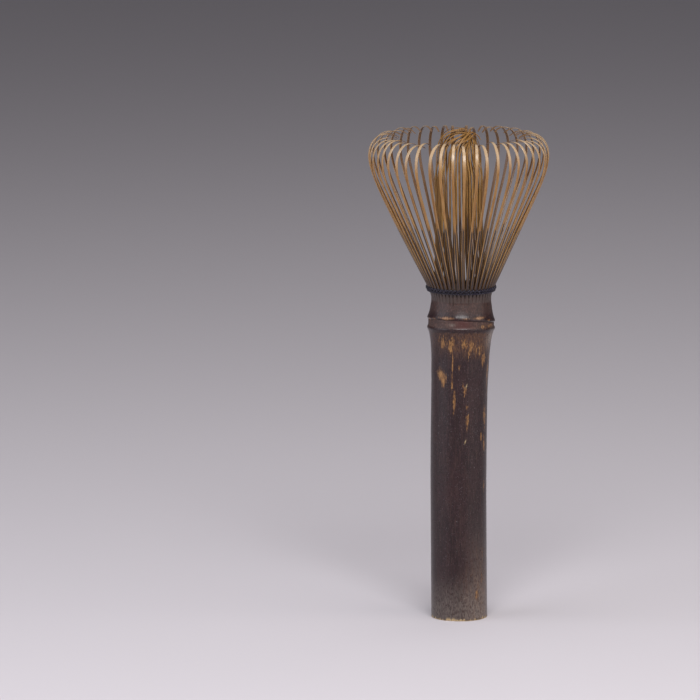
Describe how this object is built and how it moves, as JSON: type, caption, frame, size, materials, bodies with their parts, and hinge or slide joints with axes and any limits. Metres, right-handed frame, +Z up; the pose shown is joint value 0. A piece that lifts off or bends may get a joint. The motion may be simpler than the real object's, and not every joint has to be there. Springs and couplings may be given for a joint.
{
  "type": "tea whisk",
  "caption": "Long-handled bamboo tea whisk: a dark culm handle with one node, a flaring ring of hooked outer tines, an inner tine bundle and twined thread.",
  "frame": {"origin": "centre of the handle's foot, on the surface that the whisk stands on", "axes": "+Z up the handle towards the tips of the tines, X and Y across it"},
  "size_m": [0.0628, 0.0628, 0.1732],
  "materials": {
    "culm": "satin natural skin of black bamboo with tan mottling",
    "outer_tine": "satin, shaved bamboo, dark skin left on the outer face near the root",
    "inner_tine": "satin, shaved bamboo",
    "thread": "waxed twisted cotton thread, dark navy to black"
  },
  "bodies": {
    "culm": {"culm_handle": "culm", "thread_twined_strand_a": "thread", "thread_twined_strand_b": "thread", "thread_lower_wrap": "thread"},
    "outer_tine_01": {"outer_tine_01": "outer_tine"},
    "outer_tine_02": {"outer_tine_02": "outer_tine"},
    "outer_tine_03": {"outer_tine_03": "outer_tine"},
    "outer_tine_04": {"outer_tine_04": "outer_tine"},
    "outer_tine_05": {"outer_tine_05": "outer_tine"},
    "outer_tine_06": {"outer_tine_06": "outer_tine"},
    "outer_tine_07": {"outer_tine_07": "outer_tine"},
    "outer_tine_08": {"outer_tine_08": "outer_tine"},
    "outer_tine_09": {"outer_tine_09": "outer_tine"},
    "outer_tine_10": {"outer_tine_10": "outer_tine"},
    "outer_tine_11": {"outer_tine_11": "outer_tine"},
    "outer_tine_12": {"outer_tine_12": "outer_tine"},
    "outer_tine_13": {"outer_tine_13": "outer_tine"},
    "outer_tine_14": {"outer_tine_14": "outer_tine"},
    "outer_tine_15": {"outer_tine_15": "outer_tine"},
    "outer_tine_16": {"outer_tine_16": "outer_tine"},
    "outer_tine_17": {"outer_tine_17": "outer_tine"},
    "outer_tine_18": {"outer_tine_18": "outer_tine"},
    "outer_tine_19": {"outer_tine_19": "outer_tine"},
    "outer_tine_20": {"outer_tine_20": "outer_tine"},
    "outer_tine_21": {"outer_tine_21": "outer_tine"},
    "outer_tine_22": {"outer_tine_22": "outer_tine"},
    "outer_tine_23": {"outer_tine_23": "outer_tine"},
    "outer_tine_24": {"outer_tine_24": "outer_tine"},
    "outer_tine_25": {"outer_tine_25": "outer_tine"},
    "outer_tine_26": {"outer_tine_26": "outer_tine"},
    "outer_tine_27": {"outer_tine_27": "outer_tine"},
    "outer_tine_28": {"outer_tine_28": "outer_tine"},
    "outer_tine_29": {"outer_tine_29": "outer_tine"},
    "outer_tine_30": {"outer_tine_30": "outer_tine"},
    "outer_tine_31": {"outer_tine_31": "outer_tine"},
    "outer_tine_32": {"outer_tine_32": "outer_tine"},
    "outer_tine_33": {"outer_tine_33": "outer_tine"},
    "outer_tine_34": {"outer_tine_34": "outer_tine"},
    "outer_tine_35": {"outer_tine_35": "outer_tine"},
    "outer_tine_36": {"outer_tine_36": "outer_tine"},
    "outer_tine_37": {"outer_tine_37": "outer_tine"},
    "outer_tine_38": {"outer_tine_38": "outer_tine"},
    "outer_tine_39": {"outer_tine_39": "outer_tine"},
    "outer_tine_40": {"outer_tine_40": "outer_tine"},
    "outer_tine_41": {"outer_tine_41": "outer_tine"},
    "outer_tine_42": {"outer_tine_42": "outer_tine"},
    "outer_tine_43": {"outer_tine_43": "outer_tine"},
    "outer_tine_44": {"outer_tine_44": "outer_tine"},
    "outer_tine_45": {"outer_tine_45": "outer_tine"},
    "outer_tine_46": {"outer_tine_46": "outer_tine"},
    "outer_tine_47": {"outer_tine_47": "outer_tine"},
    "outer_tine_48": {"outer_tine_48": "outer_tine"},
    "inner_tines_a": {"inner_tines_a": "inner_tine"},
    "inner_tines_b": {"inner_tines_b": "inner_tine"},
    "inner_tines_c": {"inner_tines_c": "inner_tine"},
    "inner_tines_d": {"inner_tines_d": "inner_tine"},
    "inner_tines_e": {"inner_tines_e": "inner_tine"},
    "inner_tines_f": {"inner_tines_f": "inner_tine"},
    "inner_tines_g": {"inner_tines_g": "inner_tine"},
    "inner_tines_h": {"inner_tines_h": "inner_tine"}
  },
  "joints": [
    {"name": "outer_tine_01_flex", "type": "hinge", "parent": "culm", "child": "outer_tine_01", "pos_m": [0.0103, 0.00045, 0.11495], "axis": [-0.0436, 0.999, 0], "range_deg": [-6, 6], "stiffness_Nm_per_rad": 0.01},
    {"name": "outer_tine_02_flex", "type": "hinge", "parent": "culm", "child": "outer_tine_02", "pos_m": [0.01015, 0.00179, 0.11495], "axis": [-0.1736, 0.9848, 0], "range_deg": [-6, 6], "stiffness_Nm_per_rad": 0.01},
    {"name": "outer_tine_03_flex", "type": "hinge", "parent": "culm", "child": "outer_tine_03", "pos_m": [0.00983, 0.0031, 0.11495], "axis": [-0.3007, 0.9537, 0], "range_deg": [-6, 6], "stiffness_Nm_per_rad": 0.01},
    {"name": "outer_tine_04_flex", "type": "hinge", "parent": "culm", "child": "outer_tine_04", "pos_m": [0.00934, 0.00436, 0.11495], "axis": [-0.4226, 0.9063, 0], "range_deg": [-6, 6], "stiffness_Nm_per_rad": 0.01},
    {"name": "outer_tine_05_flex", "type": "hinge", "parent": "culm", "child": "outer_tine_05", "pos_m": [0.0087, 0.00554, 0.11495], "axis": [-0.5373, 0.8434, 0], "range_deg": [-6, 6], "stiffness_Nm_per_rad": 0.01},
    {"name": "outer_tine_06_flex", "type": "hinge", "parent": "culm", "child": "outer_tine_06", "pos_m": [0.0079, 0.00663, 0.11495], "axis": [-0.6428, 0.766, 0], "range_deg": [-6, 6], "stiffness_Nm_per_rad": 0.01},
    {"name": "outer_tine_07_flex", "type": "hinge", "parent": "culm", "child": "outer_tine_07", "pos_m": [0.00697, 0.0076, 0.11495], "axis": [-0.7373, 0.6756, 0], "range_deg": [-6, 6], "stiffness_Nm_per_rad": 0.01},
    {"name": "outer_tine_08_flex", "type": "hinge", "parent": "culm", "child": "outer_tine_08", "pos_m": [0.00591, 0.00845, 0.11495], "axis": [-0.8192, 0.5736, 0], "range_deg": [-6, 6], "stiffness_Nm_per_rad": 0.01},
    {"name": "outer_tine_09_flex", "type": "hinge", "parent": "culm", "child": "outer_tine_09", "pos_m": [0.00476, 0.00915, 0.11495], "axis": [-0.887, 0.4617, 0], "range_deg": [-6, 6], "stiffness_Nm_per_rad": 0.01},
    {"name": "outer_tine_10_flex", "type": "hinge", "parent": "culm", "child": "outer_tine_10", "pos_m": [0.00353, 0.00969, 0.11495], "axis": [-0.9397, 0.342, 0], "range_deg": [-6, 6], "stiffness_Nm_per_rad": 0.01},
    {"name": "outer_tine_11_flex", "type": "hinge", "parent": "culm", "child": "outer_tine_11", "pos_m": [0.00223, 0.01007, 0.11495], "axis": [-0.9763, 0.2164, 0], "range_deg": [-6, 6], "stiffness_Nm_per_rad": 0.01},
    {"name": "outer_tine_12_flex", "type": "hinge", "parent": "culm", "child": "outer_tine_12", "pos_m": [0.0009, 0.01027, 0.11495], "axis": [-0.9962, 0.0872, 0], "range_deg": [-6, 6], "stiffness_Nm_per_rad": 0.01},
    {"name": "outer_tine_13_flex", "type": "hinge", "parent": "culm", "child": "outer_tine_13", "pos_m": [-0.00045, 0.0103, 0.11495], "axis": [-0.999, -0.0436, 0], "range_deg": [-6, 6], "stiffness_Nm_per_rad": 0.01},
    {"name": "outer_tine_14_flex", "type": "hinge", "parent": "culm", "child": "outer_tine_14", "pos_m": [-0.00179, 0.01015, 0.11495], "axis": [-0.9848, -0.1736, 0], "range_deg": [-6, 6], "stiffness_Nm_per_rad": 0.01},
    {"name": "outer_tine_15_flex", "type": "hinge", "parent": "culm", "child": "outer_tine_15", "pos_m": [-0.0031, 0.00983, 0.11495], "axis": [-0.9537, -0.3007, 0], "range_deg": [-6, 6], "stiffness_Nm_per_rad": 0.01},
    {"name": "outer_tine_16_flex", "type": "hinge", "parent": "culm", "child": "outer_tine_16", "pos_m": [-0.00436, 0.00934, 0.11495], "axis": [-0.9063, -0.4226, 0], "range_deg": [-6, 6], "stiffness_Nm_per_rad": 0.01},
    {"name": "outer_tine_17_flex", "type": "hinge", "parent": "culm", "child": "outer_tine_17", "pos_m": [-0.00554, 0.0087, 0.11495], "axis": [-0.8434, -0.5373, 0], "range_deg": [-6, 6], "stiffness_Nm_per_rad": 0.01},
    {"name": "outer_tine_18_flex", "type": "hinge", "parent": "culm", "child": "outer_tine_18", "pos_m": [-0.00663, 0.0079, 0.11495], "axis": [-0.766, -0.6428, 0], "range_deg": [-6, 6], "stiffness_Nm_per_rad": 0.01},
    {"name": "outer_tine_19_flex", "type": "hinge", "parent": "culm", "child": "outer_tine_19", "pos_m": [-0.0076, 0.00697, 0.11495], "axis": [-0.6756, -0.7373, 0], "range_deg": [-6, 6], "stiffness_Nm_per_rad": 0.01},
    {"name": "outer_tine_20_flex", "type": "hinge", "parent": "culm", "child": "outer_tine_20", "pos_m": [-0.00845, 0.00591, 0.11495], "axis": [-0.5736, -0.8192, 0], "range_deg": [-6, 6], "stiffness_Nm_per_rad": 0.01},
    {"name": "outer_tine_21_flex", "type": "hinge", "parent": "culm", "child": "outer_tine_21", "pos_m": [-0.00915, 0.00476, 0.11495], "axis": [-0.4617, -0.887, 0], "range_deg": [-6, 6], "stiffness_Nm_per_rad": 0.01},
    {"name": "outer_tine_22_flex", "type": "hinge", "parent": "culm", "child": "outer_tine_22", "pos_m": [-0.00969, 0.00353, 0.11495], "axis": [-0.342, -0.9397, 0], "range_deg": [-6, 6], "stiffness_Nm_per_rad": 0.01},
    {"name": "outer_tine_23_flex", "type": "hinge", "parent": "culm", "child": "outer_tine_23", "pos_m": [-0.01007, 0.00223, 0.11495], "axis": [-0.2164, -0.9763, 0], "range_deg": [-6, 6], "stiffness_Nm_per_rad": 0.01},
    {"name": "outer_tine_24_flex", "type": "hinge", "parent": "culm", "child": "outer_tine_24", "pos_m": [-0.01027, 0.0009, 0.11495], "axis": [-0.0872, -0.9962, 0], "range_deg": [-6, 6], "stiffness_Nm_per_rad": 0.01},
    {"name": "outer_tine_25_flex", "type": "hinge", "parent": "culm", "child": "outer_tine_25", "pos_m": [-0.0103, -0.00045, 0.11495], "axis": [0.0436, -0.999, 0], "range_deg": [-6, 6], "stiffness_Nm_per_rad": 0.01},
    {"name": "outer_tine_26_flex", "type": "hinge", "parent": "culm", "child": "outer_tine_26", "pos_m": [-0.01015, -0.00179, 0.11495], "axis": [0.1736, -0.9848, 0], "range_deg": [-6, 6], "stiffness_Nm_per_rad": 0.01},
    {"name": "outer_tine_27_flex", "type": "hinge", "parent": "culm", "child": "outer_tine_27", "pos_m": [-0.00983, -0.0031, 0.11495], "axis": [0.3007, -0.9537, 0], "range_deg": [-6, 6], "stiffness_Nm_per_rad": 0.01},
    {"name": "outer_tine_28_flex", "type": "hinge", "parent": "culm", "child": "outer_tine_28", "pos_m": [-0.00934, -0.00436, 0.11495], "axis": [0.4226, -0.9063, 0], "range_deg": [-6, 6], "stiffness_Nm_per_rad": 0.01},
    {"name": "outer_tine_29_flex", "type": "hinge", "parent": "culm", "child": "outer_tine_29", "pos_m": [-0.0087, -0.00554, 0.11495], "axis": [0.5373, -0.8434, 0], "range_deg": [-6, 6], "stiffness_Nm_per_rad": 0.01},
    {"name": "outer_tine_30_flex", "type": "hinge", "parent": "culm", "child": "outer_tine_30", "pos_m": [-0.0079, -0.00663, 0.11495], "axis": [0.6428, -0.766, 0], "range_deg": [-6, 6], "stiffness_Nm_per_rad": 0.01},
    {"name": "outer_tine_31_flex", "type": "hinge", "parent": "culm", "child": "outer_tine_31", "pos_m": [-0.00697, -0.0076, 0.11495], "axis": [0.7373, -0.6756, 0], "range_deg": [-6, 6], "stiffness_Nm_per_rad": 0.01},
    {"name": "outer_tine_32_flex", "type": "hinge", "parent": "culm", "child": "outer_tine_32", "pos_m": [-0.00591, -0.00845, 0.11495], "axis": [0.8192, -0.5736, 0], "range_deg": [-6, 6], "stiffness_Nm_per_rad": 0.01},
    {"name": "outer_tine_33_flex", "type": "hinge", "parent": "culm", "child": "outer_tine_33", "pos_m": [-0.00476, -0.00915, 0.11495], "axis": [0.887, -0.4617, 0], "range_deg": [-6, 6], "stiffness_Nm_per_rad": 0.01},
    {"name": "outer_tine_34_flex", "type": "hinge", "parent": "culm", "child": "outer_tine_34", "pos_m": [-0.00353, -0.00969, 0.11495], "axis": [0.9397, -0.342, 0], "range_deg": [-6, 6], "stiffness_Nm_per_rad": 0.01},
    {"name": "outer_tine_35_flex", "type": "hinge", "parent": "culm", "child": "outer_tine_35", "pos_m": [-0.00223, -0.01007, 0.11495], "axis": [0.9763, -0.2164, 0], "range_deg": [-6, 6], "stiffness_Nm_per_rad": 0.01},
    {"name": "outer_tine_36_flex", "type": "hinge", "parent": "culm", "child": "outer_tine_36", "pos_m": [-0.0009, -0.01027, 0.11495], "axis": [0.9962, -0.0872, 0], "range_deg": [-6, 6], "stiffness_Nm_per_rad": 0.01},
    {"name": "outer_tine_37_flex", "type": "hinge", "parent": "culm", "child": "outer_tine_37", "pos_m": [0.00045, -0.0103, 0.11495], "axis": [0.999, 0.0436, 0], "range_deg": [-6, 6], "stiffness_Nm_per_rad": 0.01},
    {"name": "outer_tine_38_flex", "type": "hinge", "parent": "culm", "child": "outer_tine_38", "pos_m": [0.00179, -0.01015, 0.11495], "axis": [0.9848, 0.1736, 0], "range_deg": [-6, 6], "stiffness_Nm_per_rad": 0.01},
    {"name": "outer_tine_39_flex", "type": "hinge", "parent": "culm", "child": "outer_tine_39", "pos_m": [0.0031, -0.00983, 0.11495], "axis": [0.9537, 0.3007, 0], "range_deg": [-6, 6], "stiffness_Nm_per_rad": 0.01},
    {"name": "outer_tine_40_flex", "type": "hinge", "parent": "culm", "child": "outer_tine_40", "pos_m": [0.00436, -0.00934, 0.11495], "axis": [0.9063, 0.4226, 0], "range_deg": [-6, 6], "stiffness_Nm_per_rad": 0.01},
    {"name": "outer_tine_41_flex", "type": "hinge", "parent": "culm", "child": "outer_tine_41", "pos_m": [0.00554, -0.0087, 0.11495], "axis": [0.8434, 0.5373, 0], "range_deg": [-6, 6], "stiffness_Nm_per_rad": 0.01},
    {"name": "outer_tine_42_flex", "type": "hinge", "parent": "culm", "child": "outer_tine_42", "pos_m": [0.00663, -0.0079, 0.11495], "axis": [0.766, 0.6428, 0], "range_deg": [-6, 6], "stiffness_Nm_per_rad": 0.01},
    {"name": "outer_tine_43_flex", "type": "hinge", "parent": "culm", "child": "outer_tine_43", "pos_m": [0.0076, -0.00697, 0.11495], "axis": [0.6756, 0.7373, 0], "range_deg": [-6, 6], "stiffness_Nm_per_rad": 0.01},
    {"name": "outer_tine_44_flex", "type": "hinge", "parent": "culm", "child": "outer_tine_44", "pos_m": [0.00845, -0.00591, 0.11495], "axis": [0.5736, 0.8192, 0], "range_deg": [-6, 6], "stiffness_Nm_per_rad": 0.01},
    {"name": "outer_tine_45_flex", "type": "hinge", "parent": "culm", "child": "outer_tine_45", "pos_m": [0.00915, -0.00476, 0.11495], "axis": [0.4617, 0.887, 0], "range_deg": [-6, 6], "stiffness_Nm_per_rad": 0.01},
    {"name": "outer_tine_46_flex", "type": "hinge", "parent": "culm", "child": "outer_tine_46", "pos_m": [0.00969, -0.00353, 0.11495], "axis": [0.342, 0.9397, 0], "range_deg": [-6, 6], "stiffness_Nm_per_rad": 0.01},
    {"name": "outer_tine_47_flex", "type": "hinge", "parent": "culm", "child": "outer_tine_47", "pos_m": [0.01007, -0.00223, 0.11495], "axis": [0.2164, 0.9763, 0], "range_deg": [-6, 6], "stiffness_Nm_per_rad": 0.01},
    {"name": "outer_tine_48_flex", "type": "hinge", "parent": "culm", "child": "outer_tine_48", "pos_m": [0.01027, -0.0009, 0.11495], "axis": [0.0872, 0.9962, 0], "range_deg": [-6, 6], "stiffness_Nm_per_rad": 0.01},
    {"name": "inner_tines_a_flex", "type": "hinge", "parent": "culm", "child": "inner_tines_a", "pos_m": [0.00856, 0.00399, 0.1146], "axis": [-0.4226, 0.9063, 0], "range_deg": [0, 6], "stiffness_Nm_per_rad": 0.02},
    {"name": "inner_tines_b_flex", "type": "hinge", "parent": "culm", "child": "inner_tines_b", "pos_m": [0.00323, 0.00888, 0.1146], "axis": [-0.9397, 0.342, 0], "range_deg": [0, 6], "stiffness_Nm_per_rad": 0.02},
    {"name": "inner_tines_c_flex", "type": "hinge", "parent": "culm", "child": "inner_tines_c", "pos_m": [-0.00399, 0.00856, 0.1146], "axis": [-0.9063, -0.4226, 0], "range_deg": [0, 6], "stiffness_Nm_per_rad": 0.02},
    {"name": "inner_tines_d_flex", "type": "hinge", "parent": "culm", "child": "inner_tines_d", "pos_m": [-0.00888, 0.00323, 0.1146], "axis": [-0.342, -0.9397, 0], "range_deg": [0, 6], "stiffness_Nm_per_rad": 0.02},
    {"name": "inner_tines_e_flex", "type": "hinge", "parent": "culm", "child": "inner_tines_e", "pos_m": [-0.00856, -0.00399, 0.1146], "axis": [0.4226, -0.9063, 0], "range_deg": [0, 6], "stiffness_Nm_per_rad": 0.02},
    {"name": "inner_tines_f_flex", "type": "hinge", "parent": "culm", "child": "inner_tines_f", "pos_m": [-0.00323, -0.00888, 0.1146], "axis": [0.9397, -0.342, 0], "range_deg": [0, 6], "stiffness_Nm_per_rad": 0.02},
    {"name": "inner_tines_g_flex", "type": "hinge", "parent": "culm", "child": "inner_tines_g", "pos_m": [0.00399, -0.00856, 0.1146], "axis": [0.9063, 0.4226, 0], "range_deg": [0, 6], "stiffness_Nm_per_rad": 0.02},
    {"name": "inner_tines_h_flex", "type": "hinge", "parent": "culm", "child": "inner_tines_h", "pos_m": [0.00888, -0.00323, 0.1146], "axis": [0.342, 0.9397, 0], "range_deg": [0, 6], "stiffness_Nm_per_rad": 0.02}
  ]
}
